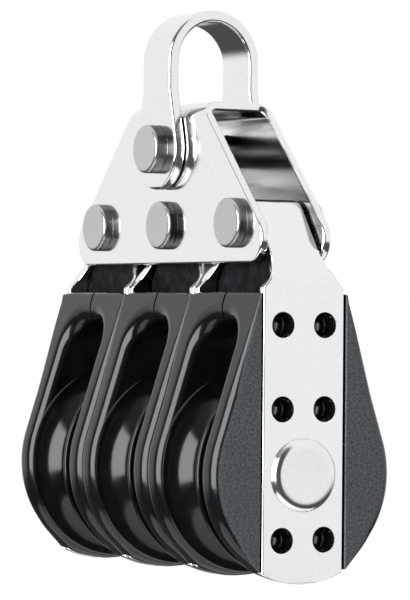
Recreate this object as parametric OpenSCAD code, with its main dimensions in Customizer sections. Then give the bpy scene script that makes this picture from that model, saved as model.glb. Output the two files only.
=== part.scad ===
// Triple sheave block with a strip shackle. Three ball-bearing sheaves sit side by side on
// one axle. Each runs between two moulded cheeks that a one-piece steel strap holds, and the
// three straps loop over rivets in one bent header, which hangs from the shackle's pin.
// Millimetres, +Z up. The origin is the centre of the shackle's half-round crown, X runs
// along the sheave axle and Y along the header's rivets. Every unit is drawn with its own
// axle centre at the origin and then moved to its place.

/* [Sheaves and bearings] */
// Outside diameter of a sheave
sheave_d = 29; // [28.4:0.2:29]
// Width over a sheave's rims
sheave_w = 10.6; // [10.2:0.1:10.8]
// Section radius of the rope groove
groove_r = 4.6; // [4.4:0.1:4.7]
// Diameter at the bottom of the groove
groove_root_d = 20.6; // [20.2:0.2:21]
// Diameter of a bearing ball
ball_d = 3.2; // [3:0.1:3.2]
// Diameter of the circle through the centres of one row of balls
ball_circle_d = 14; // [14:0.1:14.2]
// Balls in one row
ball_count = 13; // [11:1:13]
// Distance between the two rows of balls of a sheave
ball_row_gap = 3.8; // [3.6:0.1:4]
// Diameter of the axle
axle_d = 6.4; // [6:0.2:6.6]
// Diameter of the axle's button heads
axle_head_d = 10.3; // [9.6:0.1:10.6]
// Height of the axle's button heads
axle_head_h = 0.9; // [0.7:0.1:1.2]

/* [Cheeks] */
// Distance from one unit to the next
pitch = 19.4; // [19.4:0.1:20]
// Radius of a cheek round the axle
cheek_r = 14.6; // [14.6:0.1:14.7]
// Height of a cheek's top above the axle
cheek_top = 25.4; // [25:0.2:26]
// Half the width of a cheek's flat top
cheek_top_half = 7; // [6.8:0.1:7.4]
// Distance from a unit's centre to the inner face of a cheek
cheek_inner = 5.65; // [5.6:0.05:5.7]
// Height above the axle of the rope window's top
window_top = 21.6; // [21:0.2:22]
// Corner radius of the rope window's top
window_r = 4.5; // [4:0.5:5]
// Half the depth of the neck that fills the strap above the cheeks
neck_half = 3.6; // [3:0.2:3.8]
// Height above the axle of the neck's top
neck_top = 31; // [30:0.2:31.2]

/* [Unit straps] */
// Thickness of the strap sheet
strap_t = 1.2; // [1:0.1:1.3]
// Half the width of a strap's leg
strap_half = 6.6; // [6.2:0.1:6.8]
// Radius of a strap's bottom edge round the axle
strap_end_r = 15.2; // [15.1:0.1:15.6]
// Half the width of a strap where it loops over its rivet
loop_half = 4; // [3.8:0.1:4.2]
// Outside radius of the loop
loop_r = 3.4; // [3.4:0.1:3.6]
// Height above the axle at which a leg bends inwards
bend_z = 27.5; // [27:0.1:28]
// Height above the axle at which a leg starts to narrow
shoulder_z = 26; // [25.6:0.1:26.4]
// Diameter of the lightening holes in a leg
light_hole_d = 3.5; // [3:0.1:3.6]
// Half the spacing of the lightening holes across a leg
light_hole_y = 3.42; // [3.2:0.02:3.6]
// Height of the upper pair of lightening holes above the axle
light_hole_upper = 20.8; // [20:0.2:21.4]
// Height above and below the axle of the two other pairs
light_hole_lower = 9.1; // [8.6:0.1:9.6]

/* [Header] */
// Thickness of the header sheet
header_t = 1.3; // [1.2:0.1:1.4]
// Half the depth over the header's two plates
header_half = 5.75; // [5.7:0.05:5.8]
// Height of the rivet row above the axle
rivet_z = 35.1; // [35:0.1:36]
// Height of the shackle pin above the rivet row
pin_above_rivets = 11; // [11:0.2:12]
// Height of the header's top above the rivet row
header_top_above_rivets = 17.6; // [17.4:0.2:18]
// Depth of the header's bottom edge below the rivet row
header_bottom_below_rivets = 5.65; // [5.4:0.05:5.8]
// Half the width of the header's top
header_top_half = 9.7; // [9.4:0.1:10]
// Half the width of the header's foot
header_foot_half = 26.8; // [26.4:0.1:27.4]
// Radius of the header's lower corners
header_corner_r = 3.5; // [3.2:0.1:4]
// Outside radius of the bends between the header's plates and its top
header_bend_r = 2.3; // [2:0.1:2.6]
// Diameter of the header rivets
rivet_d = 4.2; // [4:0.1:4.2]
// Diameter of the rivets' heads
rivet_head_d = 7; // [6.6:0.1:7.2]
// Height of the rivets' heads
rivet_head_h = 1.7; // [1.4:0.1:1.7]

/* [Shackle] */
// Thickness of the shackle strip
shackle_t = 1.7; // [1.6:0.1:1.8]
// Inside radius of the shackle's crown
crown_r = 5.9; // [5.9:0.05:6]
// Width of the shackle strip
shackle_w = 7.8; // [7.4:0.1:8.2]
// Distance from the crown's centre to the pin
shackle_leg = 12.7; // [12.7:0.1:14]
// Radius of the eyes round the pin
eye_r = 5.85; // [5.6:0.05:6]
// Length over which a leg widens into its eye
eye_taper = 8.6; // [8:0.2:9]
// Diameter of the shackle pin
pin_d = 4.8; // [4.6:0.1:4.8]
// Diameter of the pin's head
pin_head_d = 7; // [6.8:0.1:7.4]
// Height of the pin's head
pin_head_h = 1.9; // [1.6:0.1:2]
// Length of the pin's tail behind the shackle
pin_tail = 2.6; // [2.4:0.1:3]
// Radius of the split ring
ring_r = 6.5; // [6.3:0.1:6.8]
// Diameter of the split ring's wire
ring_wire_d = 0.8; // [0.7:0.1:0.9]

/* [Hidden] */
$fn = 64;
// Running gap of a turning fit, on the radius
fit_gap = 0.05;
// Gap that keeps one moulding or sheet clear of the next
part_gap = 0.05;
cheek_outer = pitch / 2 - part_gap;
// The straps lie a little below the cheeks' outer faces
strap_outer = cheek_outer - 0.1;
strap_inner = strap_outer - strap_t;
channel_floor = strap_inner - part_gap;
channel_half = strap_half + 0.3;
recess_depth = 1.6;
neck_gap = 0.2;
// The lower corners of a cheek, beside its strap channel
cheek_foot_r = cheek_r + 0.45;
cheek_foot_half = channel_half + 0.2;
cheek_foot = [cheek_foot_half, -sqrt(pow(cheek_foot_r, 2) - pow(cheek_foot_half, 2))];
web_low = window_top - window_r;
// Angle from the vertical at which the strap's upper legs lean in, to touch the loop
strap_lean = touch_angle([strap_outer, bend_z - rivet_z], loop_r, 1);
strap_inner_knee_z = bend_z - strap_t * tan(strap_lean / 2);
// The arc that narrows a strap from its shoulders to its loop is centred level with the
// height at which the narrow part begins, so the two meet smoothly
loop_start_z = 31.5;
shoulder_rise = loop_start_z - shoulder_z;
shoulder_arc_y = (pow(strap_half, 2) - pow(loop_half, 2) + pow(shoulder_rise, 2))
    / (2 * (strap_half - loop_half));
shoulder_arc_r = shoulder_arc_y - loop_half;
pin_z = -shackle_leg;
header_z = pin_z - pin_above_rivets;
axle_z = header_z - rivet_z;
header_inner_r = header_bend_r - header_t;
header_top_r = 1.5;
shackle_outer = crown_r + shackle_t;
pin_tail_end = shackle_outer + pin_tail;
ring_hole_y = pin_tail_end - 1.3;
ring_hole_r = 0.75;
// How far the ring's wire bows inside the pin's cross hole
ring_bow = ring_r - sqrt(pow(ring_r, 2) - pow(pin_d / 2, 2));
head_edge = 0.4;
axle_head_edge = 0.6;
// Shoulders of the core and the sheave beside the ball tracks
core_r = (ball_circle_d - ball_d) / 2 + 0.75;
sheave_bore_r = (ball_circle_d + ball_d) / 2 - 0.7;

// Direction, from the centre of a circle of radius r, of the point at which a line from the
// outside point p touches it: turn is 1 for the touch anticlockwise of p, -1 for the other
function touch_angle(p, r, turn) = atan2(p[1], p[0]) + turn * acos(r / norm(p));

// The point in that direction on the circle
function on_circle(angle, r) = [r * cos(angle), r * sin(angle)];

// The mirror image of a point in the vertical axis
function flip(p) = [-p[0], p[1]];

// Extrudes a Y-Z outline along X from x0 to x1
module along_x(x0, x1) {
    translate([x0, 0, 0]) rotate([90, 0, 90]) linear_extrude(x1 - x0) children();
}

// Extrudes an X-Z outline along Y from -half to half
module along_y(half) {
    rotate([90, 0, 0]) linear_extrude(2 * half, center = true) children();
}

// A cylinder along X from x0 to x1
module rod_x(r, x0, x1) {
    translate([x0, 0, 0]) rotate([0, 90, 0]) cylinder(r = r, h = x1 - x0);
}

// A cylinder along Y from y0 to y1
module rod_y(r, y0, y1) {
    translate([0, y0, 0]) rotate([-90, 0, 0]) cylinder(r = r, h = y1 - y0);
}

// A flat-topped head standing on the X-Y plane, with its upper edge rounded
module button(r, h, edge) {
    rotate_extrude() intersection() {
        square([r, h]);
        union() {
            square([r - edge, h]);
            square([r, h - edge]);
            translate([r - edge, h - edge]) circle(edge, $fn = 32);
        }
    }
}

// Sheave: an acetal wheel with a round-bottomed rope groove and two ball tracks
module sheave() {
    color([0.06, 0.06, 0.07]) rotate([0, 90, 0]) rotate_extrude() difference() {
        translate([sheave_bore_r, -sheave_w / 2])
            square([sheave_d / 2 - sheave_bore_r, sheave_w]);
        translate([groove_root_d / 2 + groove_r, 0]) circle(groove_r);
        ball_tracks();
    }
}

// Sections of the two rows' tracks, a running gap larger than the balls
module ball_tracks() {
    for (side = [-1, 1])
        translate([ball_circle_d / 2, side * ball_row_gap / 2]) circle(ball_d / 2 + fit_gap);
}

// Both rows of loose balls of one sheave
module bearing_balls() {
    color([0.92, 0.92, 0.88])
    for (side = [-1, 1]) for (k = [0 : ball_count - 1])
        rotate([k * 360 / ball_count, 0, 0])
            translate([side * ball_row_gap / 2, ball_circle_d / 2, 0]) sphere(ball_d / 2);
}

// Inner race, held between the cheeks
module bearing_core() {
    core_half = cheek_inner - part_gap;
    color([0.75, 0.76, 0.78]) rotate([0, 90, 0]) rotate_extrude() difference() {
        translate([axle_d / 2 + fit_gap, -core_half])
            square([core_r - axle_d / 2 - fit_gap, 2 * core_half]);
        ball_tracks();
    }
}

// Outline of a cheek: round below, straight flanks up to a narrower flat top
module cheek_outline() {
    top = [cheek_top_half, cheek_top];
    flank = on_circle(touch_angle(top, cheek_r, -1), cheek_r);
    chin = on_circle(touch_angle(cheek_foot, cheek_r, 1), cheek_r);
    circle(cheek_r);
    polygon([flip(flank), flip(top), top, flank]);
    polygon([[0, 0], chin, cheek_foot]);
    polygon([[0, 0], flip(cheek_foot), flip(chin)]);
    intersection() {
        circle(cheek_foot_r);
        polygon([[0, 0], 2 * cheek_foot, 2 * flip(cheek_foot)]);
    }
}

// Rope window of a unit, seen along Y
module window_outline() {
    for (side = [-1, 1]) translate([side * (cheek_inner - window_r), web_low]) circle(window_r);
    translate([-cheek_inner, 0]) square([2 * cheek_inner, web_low]);
    translate([window_r - cheek_inner, 0]) square([2 * (cheek_inner - window_r), window_top]);
}

// Right half of the neck between the strap's leaning legs, seen along Y
module neck_outline() {
    low = strap_inner - neck_gap;
    knee = bend_z - strap_t / 2;
    polygon([
        [part_gap, cheek_top - 1],
        [low, cheek_top - 1],
        [low, knee],
        [low - (neck_top - knee) * tan(strap_lean), neck_top],
        [part_gap, neck_top]
    ]);
}

// Right half of a unit's plastic: one cheek with half the web and half the neck above it
module cheek() {
    color([0.33, 0.36, 0.37]) difference() {
        union() {
            along_x(cheek_inner, cheek_outer) cheek_outline();
            difference() {
                along_x(part_gap, cheek_inner + 1) intersection() {
                    cheek_outline();
                    translate([-cheek_r, web_low])
                        square([2 * cheek_r, cheek_top - web_low]);
                }
                along_y(cheek_r) window_outline();
            }
            along_y(neck_half) neck_outline();
        }
        along_x(channel_floor, pitch)
            translate([-channel_half, -2 * cheek_r])
                square([2 * channel_half, 4 * cheek_r]);
        light_holes() rod_x(light_hole_d / 2, channel_floor - recess_depth, pitch);
        rod_x(axle_d / 2 + fit_gap, 0, pitch);
    }
}

// Puts its child at each of a leg's six lightening holes
module light_holes() {
    for (y = [-light_hole_y, light_hole_y])
        for (z = [-light_hole_lower, light_hole_lower, light_hole_upper])
            translate([0, y, z]) children();
}

// Outline inside which the strap runs, seen along Y: legs at half, a knee at knee_z and a
// round end of radius r over the rivet
module strap_side_outline(half, knee_z, r) {
    touch = on_circle(strap_lean, r) + [0, rivet_z];
    translate([0, rivet_z]) circle(r);
    polygon([
        [-half, -2 * strap_end_r], [half, -2 * strap_end_r], [half, knee_z], touch,
        [0, rivet_z], flip(touch), [-half, knee_z]
    ]);
}

// Outline of a strap's leg and loop, seen along X
module strap_front_outline() {
    intersection() {
        circle(strap_end_r);
        translate([-strap_half, -strap_end_r]) square([2 * strap_half, strap_end_r + 1]);
    }
    translate([-strap_half, 0]) square([2 * strap_half, shoulder_z]);
    difference() {
        translate([-strap_half, shoulder_z - 1]) square([2 * strap_half, shoulder_rise + 1]);
        for (side = [-1, 1])
            translate([side * shoulder_arc_y, loop_start_z]) circle(shoulder_arc_r);
    }
    translate([-loop_half, loop_start_z - 1])
        square([2 * loop_half, rivet_z + loop_r - loop_start_z + 1]);
}

// Unit strap: one strip of sheet bent over its rivet, with a leg down each cheek
module unit_strap() {
    color([0.86, 0.86, 0.89]) difference() {
        intersection() {
            along_y(2 * strap_half) difference() {
                strap_side_outline(strap_outer, bend_z, loop_r);
                strap_side_outline(strap_inner, strap_inner_knee_z, loop_r - strap_t);
            }
            along_x(-pitch, pitch) strap_front_outline();
        }
        light_holes() rod_x(light_hole_d / 2, -pitch, pitch);
        rod_x(axle_d / 2 + fit_gap, -pitch, pitch);
    }
}

// Outline of the header's plates, seen along Y from the rivet row
module header_plate_outline() {
    foot = [header_foot_half - header_corner_r, header_corner_r - header_bottom_below_rivets];
    top = [header_top_half, header_top_above_rivets];
    slope = touch_angle(top - foot, header_corner_r, -1);
    side = foot + on_circle(slope, header_corner_r);
    // Centre of the small round that ends the sloping side at the top
    round_z = header_top_above_rivets - header_top_r;
    round_x = (side * on_circle(slope, 1) - header_top_r - round_z * sin(slope)) / cos(slope);
    round = [round_x, round_z];
    shoulder = round + on_circle(slope, header_top_r);
    low = -header_bottom_below_rivets;
    for (p = [foot, flip(foot)]) translate(p) circle(header_corner_r);
    for (p = [round, flip(round)]) translate(p) circle(header_top_r);
    polygon([
        [foot[0], low], side, shoulder, [round_x, header_top_above_rivets],
        [-round_x, header_top_above_rivets], flip(shoulder), flip(side), [-foot[0], low]
    ]);
}

// Inverted channel with its two top corners rounded, seen along X from the rivet row
module channel_outline(half, top, r) {
    low = -2 * header_bottom_below_rivets;
    for (side = [-1, 1]) translate([side * (half - r), top - r]) circle(r);
    translate([-half, low]) square([2 * half, top - r - low]);
    translate([r - half, low]) square([2 * (half - r), top - low]);
}

// Header: one sheet bent over into two plates that the rivets and the pin pass through
module header() {
    color([0.86, 0.86, 0.89]) translate([0, 0, header_z]) difference() {
        intersection() {
            along_x(-header_foot_half, header_foot_half) difference() {
                channel_outline(header_half, header_top_above_rivets, header_bend_r);
                channel_outline(
                    header_half - header_t, header_top_above_rivets - header_t, header_inner_r
                );
            }
            along_y(header_half) header_plate_outline();
        }
        for (i = [-1, 0, 1]) translate([i * pitch, 0, 0])
            rod_y(rivet_d / 2 + fit_gap, -2 * header_half, 2 * header_half);
        translate([0, 0, pin_above_rivets])
            rod_y(pin_d / 2 + fit_gap, -2 * header_half, 2 * header_half);
    }
}

// The three rivets that the straps loop over, headed on both plates
module header_rivets() {
    color([0.8, 0.8, 0.82])
    for (i = [-1, 0, 1]) translate([i * pitch, 0, header_z]) {
        rod_y(rivet_d / 2, -header_half, header_half);
        for (side = [-1, 1]) rotate([side * 90, 0, 0])
            translate([0, 0, header_half]) button(rivet_head_d / 2, rivet_head_h, head_edge);
    }
}

// Axle through all three units, headed over the outermost straps
module axle() {
    half = pitch + strap_outer;
    color([0.8, 0.8, 0.82]) translate([0, 0, axle_z]) {
        rod_x(axle_d / 2, -half, half);
        for (side = [-1, 1]) rotate([0, side * 90, 0])
            translate([0, 0, half]) button(axle_head_d / 2, axle_head_h, axle_head_edge);
    }
}

// Outline of the shackle's strip, seen along Y from the pin: straight above, and widening
// down each leg until its sides touch the eye
module shackle_strip_outline() {
    shoulder = [shackle_w / 2, eye_taper];
    touch = on_circle(touch_angle(shoulder, eye_r, -1), eye_r);
    top = [shackle_w / 2, shackle_leg + 2 * shackle_outer];
    polygon([[0, 0], flip(touch), flip(shoulder), flip(top), top, shoulder, touch]);
}

// Shackle: one strip bent to a half-round crown, with a round eye at the foot of each leg
module shackle() {
    color([0.86, 0.86, 0.89]) difference() {
        union() {
            intersection() {
                along_x(-2 * eye_r, 2 * eye_r) difference() {
                    arch_outline(shackle_outer);
                    arch_outline(crown_r);
                }
                translate([0, 0, pin_z]) along_y(2 * shackle_outer) shackle_strip_outline();
            }
            translate([0, 0, pin_z]) {
                rod_y(eye_r, crown_r, shackle_outer);
                rod_y(eye_r, -shackle_outer, -crown_r);
            }
        }
        translate([0, 0, pin_z])
            rod_y(pin_d / 2 + fit_gap, -2 * shackle_outer, 2 * shackle_outer);
    }
}

// Arch of radius r with straight legs, seen along X
module arch_outline(r) {
    circle(r);
    translate([-r, -2 * shackle_leg]) square([2 * r, 2 * shackle_leg]);
}

// Pin with a flat head in front and a cross hole in its tail for the ring
module shackle_pin() {
    color([0.8, 0.8, 0.82]) translate([0, 0, pin_z]) {
        rotate([90, 0, 0]) translate([0, 0, shackle_outer])
            button(pin_head_d / 2, pin_head_h, head_edge);
        difference() {
            rod_y(pin_d / 2, -shackle_outer, pin_tail_end);
            translate([0, ring_hole_y, 0]) rod_x(ring_hole_r, -pin_d, pin_d);
        }
    }
}

// Ring that hangs in the pin's cross hole and keeps the pin in
module pin_ring() {
    color([0.8, 0.8, 0.82])
    translate([0, ring_hole_y, pin_z + ring_bow / 2 - ring_r]) rotate([90, 0, 0])
        rotate_extrude() translate([ring_r, 0]) circle(ring_wire_d / 2, $fn = 32);
}

// Moves a part drawn about its own axle centre to one of the three units
module at_unit(i) {
    translate([(i - 2) * pitch, 0, axle_z]) children();
}

module left() {
    mirror([1, 0, 0]) children();
}

shackle();
shackle_pin();
pin_ring();
header();
header_rivets();
axle();
at_unit(1) unit_strap();  // unit_strap_1
at_unit(2) unit_strap();  // unit_strap_2
at_unit(3) unit_strap();  // unit_strap_3
at_unit(1) left() cheek();  // cheek_left_1
at_unit(2) left() cheek();  // cheek_left_2
at_unit(3) left() cheek();  // cheek_left_3
at_unit(1) cheek();  // cheek_right_1
at_unit(2) cheek();  // cheek_right_2
at_unit(3) cheek();  // cheek_right_3
at_unit(1) sheave();  // sheave_1
at_unit(2) sheave();  // sheave_2
at_unit(3) sheave();  // sheave_3
at_unit(1) bearing_core();  // bearing_core_1
at_unit(2) bearing_core();  // bearing_core_2
at_unit(3) bearing_core();  // bearing_core_3
at_unit(1) bearing_balls();  // bearing_balls_1
at_unit(2) bearing_balls();  // bearing_balls_2
at_unit(3) bearing_balls();  // bearing_balls_3
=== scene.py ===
# %% [markdown]
# # A triple rope block around its CAD frame
#
# The block is three ball-bearing sheaves between moulded cheeks. Bent steel straps carry
# the cheeks, a folded steel header carries the straps, and a strip shackle carries the
# header. The frame knows every size and every joint, so the first cell loads it. Nothing
# here moves a CAD part: each new surface is built in the same place, in metres, and rides
# on the body that it belongs to.

# %% Load the frame
import math

import bmesh
import bpy
import numpy as np
from mathutils import Matrix, Vector


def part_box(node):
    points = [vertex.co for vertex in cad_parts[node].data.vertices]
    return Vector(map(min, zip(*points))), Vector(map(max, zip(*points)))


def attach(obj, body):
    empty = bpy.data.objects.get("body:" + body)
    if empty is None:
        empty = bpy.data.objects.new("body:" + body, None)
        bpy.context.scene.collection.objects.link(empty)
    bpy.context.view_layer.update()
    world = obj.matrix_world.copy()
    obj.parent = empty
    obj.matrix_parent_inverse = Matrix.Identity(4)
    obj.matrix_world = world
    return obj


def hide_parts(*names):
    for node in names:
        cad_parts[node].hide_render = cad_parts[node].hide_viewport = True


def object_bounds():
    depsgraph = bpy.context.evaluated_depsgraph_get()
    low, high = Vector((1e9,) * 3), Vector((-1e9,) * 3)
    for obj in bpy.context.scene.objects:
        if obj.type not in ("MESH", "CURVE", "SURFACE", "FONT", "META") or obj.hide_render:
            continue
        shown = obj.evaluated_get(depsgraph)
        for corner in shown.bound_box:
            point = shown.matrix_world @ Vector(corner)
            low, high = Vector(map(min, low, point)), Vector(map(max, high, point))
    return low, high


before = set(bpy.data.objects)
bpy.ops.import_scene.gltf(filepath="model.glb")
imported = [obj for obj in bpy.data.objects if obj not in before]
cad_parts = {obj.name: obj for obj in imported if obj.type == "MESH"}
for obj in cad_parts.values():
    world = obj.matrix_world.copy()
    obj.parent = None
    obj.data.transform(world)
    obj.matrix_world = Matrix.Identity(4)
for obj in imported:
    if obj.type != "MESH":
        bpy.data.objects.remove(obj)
cad_low, cad_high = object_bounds()
print("CAD box in mm:", [round((h - l) * 1000, 1) for l, h in zip(cad_low, cad_high)])

# %% [markdown]
# ## Where things are
#
# All shapes are worked out in millimetres about a local centre: the axle for a unit, the
# rivet row for the header, the pin for the shackle. The frame gives those centres, so the
# shapes land where the CAD has them.

# %% Read the centres from the frame
MM = 0.001


def centre(node):
    """The middle of a CAD node's box, in metres."""
    low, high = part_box(node)
    return (low + high) / 2


def half_size(node):
    """Half of a CAD node's box, in millimetres."""
    low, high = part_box(node)
    return (high - low) / 2 / MM


UNITS = (1, 2, 3)
AXLE_Z = centre("axle").z
RIVETS_Z = centre("header_rivets").z
PIN_Z = centre("shackle_pin").z
UNIT_X = {i: centre(f"sheave_{i}").x for i in UNITS}
SHEAVE_R = half_size("sheave_2").z
SHEAVE_HALF = half_size("sheave_2").x
STRAP_OUT = half_size("unit_strap_2").x
CHEEK_OUT = (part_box("cheek_right_2")[1].x - UNIT_X[2]) / MM
print("axle, rivets and pin heights:", AXLE_Z, RIVETS_Z, PIN_Z)

# %% [markdown]
# ## Surfaces from numpy grids
#
# Every new piece is a grid of points worked out as one numpy array: rows run along the
# piece and columns run round it. The faces of a grid follow from its shape alone, so one
# function serves them all. Rows may shrink to a point or a line; merging the doubled
# points afterwards closes the surface.

# %% Faces of a grid
def grid_faces(rows, cols):
    """Quads between neighbouring rows and columns, with the last column joined to the first."""
    r, c = np.meshgrid(np.arange(rows - 1), np.arange(cols), indexing="ij")
    nxt = (c + 1) % cols
    quads = np.stack([r * cols + c, r * cols + nxt, (r + 1) * cols + nxt, (r + 1) * cols + c], -1)
    return quads.reshape(-1, 4)


def signed_volume(points, quads):
    """Six times the volume inside the quads, positive where they face outwards."""
    a, b, c, d = (points[quads[:, k]] for k in range(4))
    return (np.cross(a, b) * c).sum() + (np.cross(a, c) * d).sum()


def ring_area(ring):
    """Twice the area inside a closed ring: the sum of the cross products of neighbours."""
    return np.linalg.norm(np.cross(ring, np.roll(ring, -1, 0)).sum(0))


def cap_rings(shell):
    """Indices of the end rings that need a face: none for a closed loop of rows, and none
    for a ring that has shrunk to a point or a line."""
    rows, cols = shell.shape[:2]
    if np.allclose(shell[0], shell[-1]):
        return []
    rings = [(np.arange(cols)[::-1], shell[0]), ((rows - 1) * cols + np.arange(cols), shell[-1])]
    return [index for index, ring in rings if ring_area(ring - ring[0]) > 1e-6]


print("a grid of 3 rows and 4 columns has", len(grid_faces(3, 4)), "faces")

# %% [markdown]
# ## From grids to closed solids
#
# A solid is one or more closed shells. The sign of the volume inside a shell tells whether
# its faces point outwards, and they are turned round if they don't. Doubled points are then
# merged, because a shell that is open along a seam can't be cut cleanly.

# %% Build a solid
SAME_POINT, NO_LENGTH, FLAT_ANGLE = 2e-6, 1e-7, math.radians(0.3)


def clean(obj, no_length, join_flats=False):
    """Merges points that lie on each other, drops edges shorter than no_length and faces
    with no area and, if asked, joins coplanar faces into one."""
    bm = bmesh.new()
    bm.from_mesh(obj.data)
    bmesh.ops.remove_doubles(bm, verts=bm.verts, dist=SAME_POINT)
    bmesh.ops.dissolve_degenerate(bm, edges=bm.edges, dist=no_length)
    if join_flats:
        bmesh.ops.dissolve_limit(bm, angle_limit=FLAT_ANGLE, verts=bm.verts, edges=bm.edges,
                                 delimit={"MATERIAL"})
    bm.to_mesh(obj.data)
    bm.free()


def add_object(name, data):
    """A new object, linked into the scene."""
    obj = bpy.data.objects.new(name, data)
    bpy.context.scene.collection.objects.link(obj)
    return obj


def solid(name, *shells):
    """One object from closed shells, each a (rows, columns, 3) grid in millimetres. Open
    end rows are closed with one face each."""
    points, faces = np.zeros((0, 3)), []
    for shell in shells:
        rows, cols = shell.shape[:2]
        quads = grid_faces(rows, cols)
        flat = shell.reshape(-1, 3)
        ends = cap_rings(shell)
        fan = [np.stack([np.full(cols - 2, e[0]), e[1:-1], e[2:], e[2:]], -1) for e in ends]
        turn = -1 if signed_volume(flat, np.concatenate([quads, *fan])) < 0 else 1
        faces += [(f[::turn] + len(points)).tolist() for f in [*quads, *ends]]
        points = np.concatenate([points, flat])
    mesh = bpy.data.meshes.new(name)
    mesh.from_pydata((points * MM).tolist(), [], faces)
    obj = add_object(name, mesh)
    clean(obj, NO_LENGTH)
    return obj


print("points closer than", SAME_POINT / MM, "mm become one")

# %% [markdown]
# ## Cutting and joining
#
# Holes are drilled and the cheek's tongue is joined on with exact Booleans. They leave
# slivers and split faces along the cut, and on a polished flat those show as smudges, so
# coplanar faces are joined into one afterwards.

# %% Combine solids
def combine(obj, tool, operation="DIFFERENCE"):
    """Applies a Boolean with a second closed solid, which is then removed."""
    cut = obj.modifiers.new("cut", "BOOLEAN")
    cut.object, cut.operation, cut.solver = tool, operation, "EXACT"
    done = obj.evaluated_get(bpy.context.evaluated_depsgraph_get())
    obj.data = bpy.data.meshes.new_from_object(done)
    obj.modifiers.clear()
    bpy.data.objects.remove(tool)


def merge_flats(obj):
    """Takes out the slivers and the split flats after the last Boolean on a piece."""
    clean(obj, SAME_POINT, join_flats=True)
    print(f"{obj.name}: {len(obj.data.polygons)} faces after the cuts")


# %% [markdown]
# ## Turned shapes
#
# Sheaves, rivets, the axle and every drill are turned shapes: a profile of radius and
# height spun about one axis. A round edge is a quarter circle in that profile.

# %% Spin a profile
def spin(profile, axis, at, count=96):
    """Surface of revolution: each (radius, height) of the profile is carried round the
    axis, "x" or "y", through the centre at, in millimetres."""
    radius, height = np.asarray(profile, float).T[:, :, None]
    turn = np.linspace(0, 2 * np.pi, count, endpoint=False)[None, :]
    around, up = radius * np.cos(turn), radius * np.sin(turn)
    along = np.broadcast_to(height, around.shape)
    order = (along, around, up) if axis == "x" else (around, along, up)
    return np.stack(order, -1) + np.asarray(at, float)


def arc(centre_r, centre_h, r, start, end, count=7):
    """Points of a circle in a profile, from one angle to another in degrees."""
    a = np.radians(np.linspace(start, end, count))
    return np.stack([centre_r + r * np.cos(a), centre_h + r * np.sin(a)], -1)


def drill(axis, at, r, faces, lip=0.12, count=48):
    """A cutter for a hole with eased rims: radius r inside, wider by lip where it passes
    each of the faces, given as heights along the axis. It starts and ends past them all."""
    past, wide, ease = 1, r + lip, lip * 0.3
    profile = [[0, faces[0] - past], [wide, faces[0] - past], [wide, faces[0]]]
    for near, far in zip(faces[::2], faces[1::2]):
        profile += [[r + ease, near + ease], [r, near + lip], [r, far - lip]]
        profile += [[r + ease, far - ease], [wide, far], [wide, far + 0.01]]
    profile += [[wide, faces[-1] + past], [0, faces[-1] + past]]
    return solid("drill", spin(profile, axis, at, count))


print("a quarter round:", arc(0, 0, 1, 0, 90, 3).round(2).tolist())

# %% [markdown]
# ## Bent strips
#
# The shackle, the header and the straps are all cut from sheet and bent. So are these: a
# path in one plane goes straight and turns, as the sheet does in the press brake, and a
# rounded rectangle is carried along it. Its half width is a function of height, because
# each outline is the same on both legs.

# %% Bend a path
def bent_path(start, moves, step=0.4, fan=6):
    """Centre line of a strip from the start, heading up: a move (length, 0) goes straight
    and a move (radius, degrees) turns left. Gives the points and the normals to the left,
    with a row every step millimetres of a straight and every fan degrees of a bend."""
    point, heading = np.array(start, float), 90.0
    points, headings = [point[None]], [np.array([heading])]
    for size, turn in moves:
        if turn == 0:
            t = np.linspace(0, 1, max(2, round(size / step)))[1:]
            ahead = np.radians(heading)
            way = np.array([math.cos(ahead), math.sin(ahead)])
            points.append(point + size * t[:, None] * way)
            headings.append(np.full(len(t), heading))
        else:
            t = np.linspace(0, turn, max(4, round(turn / fan)))[1:]
            first, then = np.radians(heading), np.radians(heading + t)
            hub = point + size * np.array([-math.sin(first), math.cos(first)])
            points.append(hub + size * np.stack([np.sin(then), -np.cos(then)], -1))
            headings.append(heading + t)
            heading += turn
        point = points[-1][-1]
    way = np.radians(np.concatenate(headings))
    return np.concatenate(points), np.stack([-np.sin(way), np.cos(way)], -1)


def with_fine_ends(points, left, reach=2.2, count=14):
    """The same path with more rows towards both ends, where outlines curve in: they lie at
    reach times one minus the cosine of equal steps. Gives each row's distance from an end
    too."""
    s = np.concatenate([[0], np.cumsum(np.linalg.norm(np.diff(points, axis=0), axis=1))])
    fine = reach * (1 - np.cos(np.linspace(0, np.pi / 2, count)))
    at = np.unique(np.round(np.concatenate([s, fine, s[-1] - fine]), 4))

    def pick(v):
        return np.stack([np.interp(at, s, v[:, k]) for k in range(v.shape[1])], -1)

    return pick(points), pick(left), np.minimum(at, s[-1] - at)


print("a straight and a bend:", bent_path((0, 0), [(5, 0), (2, 90)])[0][-1].round(2))

# %% [markdown]
# ## Carrying a section along the path
#
# Sheared sheet that has been tumbled has soft corners. A bevel could round them too, but it
# may tear where the outline curves to a point. Here each row's section has rounded corners
# from the start, and they shrink where the strip is narrow.

# %% Carry a rounded rectangle along a path
def rounded_rectangle(a, b, e):
    """Points round rectangles of half sizes a and b: each corner is a quarter circle of
    radius e, so a point is a corner's centre plus e times its angle's cosine and sine."""
    turn = np.radians(np.concatenate([np.linspace(q, q + 90, 5) for q in (0, 90, 180, 270)]))
    side_a, side_b = np.repeat([1, -1, -1, 1], 5), np.repeat([1, 1, -1, -1], 5)
    return side_a * (a - e) + e * np.cos(turn), side_b * (b - e) + e * np.sin(turn)


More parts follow.
